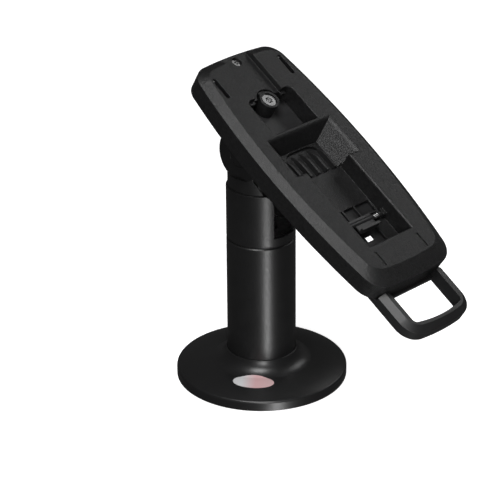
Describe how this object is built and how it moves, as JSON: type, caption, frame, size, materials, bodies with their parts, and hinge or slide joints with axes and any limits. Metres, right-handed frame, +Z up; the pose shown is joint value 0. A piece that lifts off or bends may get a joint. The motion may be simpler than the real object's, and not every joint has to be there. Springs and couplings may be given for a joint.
{
  "type": "card terminal stand",
  "caption": "Countertop stand for a card payment terminal: round screw-down base, swivelling pole, tilting cradle plate with a latch and a lifting handle.",
  "frame": {"origin": "centre of the base's underside, on the cable bore's axis", "axes": "+Z up along the pole; the cradle faces and leans towards -Y; the tilt axis runs along X"},
  "size_m": [0.1048, 0.1975, 0.2016],
  "materials": {
    "pad_rubber": "matte",
    "plate_paint": "satin",
    "cast_zinc": "matte",
    "screw_steel": "satin",
    "pole_paint": "satin",
    "cover_plastic": "satin",
    "badge_print": "gloss",
    "turned_aluminium": "satin",
    "acetal": "matte",
    "spring_steel": "satin",
    "yoke_paint": "matte",
    "cap_plastic": "matte",
    "bracket_paint": "matte",
    "cradle_plastic": "grained matte",
    "inner_plastic": "matte",
    "handle_plastic": "matte",
    "lock_steel": "bright",
    "brass": "turned",
    "latch_plastic": "satin"
  },
  "bodies": {
    "base": {"base_pad": "pad_rubber", "base_plate": "plate_paint", "pole_flange": "cast_zinc", "flange_screws": "screw_steel", "lower_pole": "pole_paint", "grub_screws": "screw_steel", "base_cover": "cover_plastic", "badge": "badge_print", "lower_insert": "turned_aluminium", "swivel_bush": "acetal", "stop_pin": "screw_steel", "wave_washer": "spring_steel"},
    "swivel": {"swivel_shaft": "turned_aluminium", "swivel_nut": "cast_zinc", "upper_pole": "pole_paint", "tube_screws": "screw_steel", "yoke": "yoke_paint", "tilt_bolt": "screw_steel", "disc_springs": "spring_steel", "tilt_nut": "screw_steel", "friction_washers": "acetal", "pivot_caps": "cap_plastic"},
    "head": {"tilt_bracket": "bracket_paint", "bracket_screws": "screw_steel", "cradle_shell": "cradle_plastic", "back_cover": "inner_plastic", "cover_screws": "screw_steel", "handle_loop": "handle_plastic", "handle_screws": "screw_steel", "lock_screw": "lock_steel", "slot_pins": "lock_steel", "top_screw": "lock_steel", "top_screw_nut": "brass", "latch_pin": "screw_steel", "latch_spring": "spring_steel"},
    "latch": {"latch_lever": "latch_plastic"}
  },
  "joints": [
    {"name": "swivel_turn", "type": "hinge", "parent": "base", "child": "swivel", "pos_m": [0, 0, 0.093], "axis": [0, 0, 1], "range_deg": [-165, 165]},
    {"name": "tilt", "type": "hinge", "parent": "swivel", "child": "head", "pos_m": [0, 0, 0.1503], "axis": [1, 0, 0], "range_deg": [-32, 35]},
    {"name": "latch_press", "type": "hinge", "parent": "head", "child": "latch", "pos_m": [0, -0.08131, 0.12699], "axis": [1, 0, 0], "range_deg": [0, 20], "stiffness_Nm_per_rad": 0.03, "springref_deg": -20.05}
  ]
}
